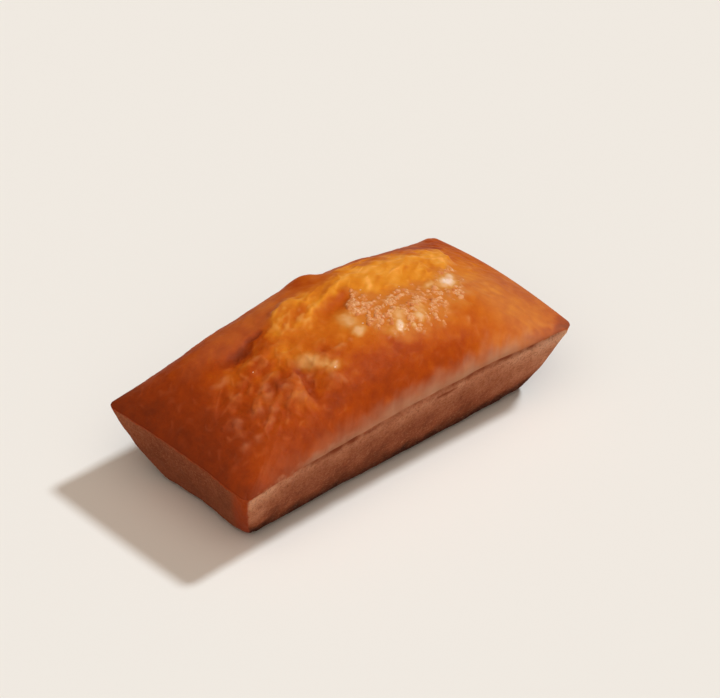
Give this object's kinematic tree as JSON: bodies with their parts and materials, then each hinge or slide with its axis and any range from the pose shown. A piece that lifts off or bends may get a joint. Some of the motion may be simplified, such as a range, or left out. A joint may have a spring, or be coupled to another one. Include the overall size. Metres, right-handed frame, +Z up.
{
  "type": "financier cake",
  "caption": "Small oblong almond cake turned out of its tin, with sloping sides, a thin rim fold and a domed golden-brown top that has burst on one side.",
  "frame": {"origin": "middle of the flat base, on the surface the cake stands on", "axes": "+X along the loaf, +Y across it towards the side where the top has burst, +Z up"},
  "size_m": [0.0859, 0.0412, 0.0307],
  "materials": {
    "baked_crust": "thin golden-brown baked crust, buttery gloss on the top and finely porous matte sides"
  },
  "bodies": {
    "root": {"financier_cake": "baked_crust"}
  },
  "joints": []
}
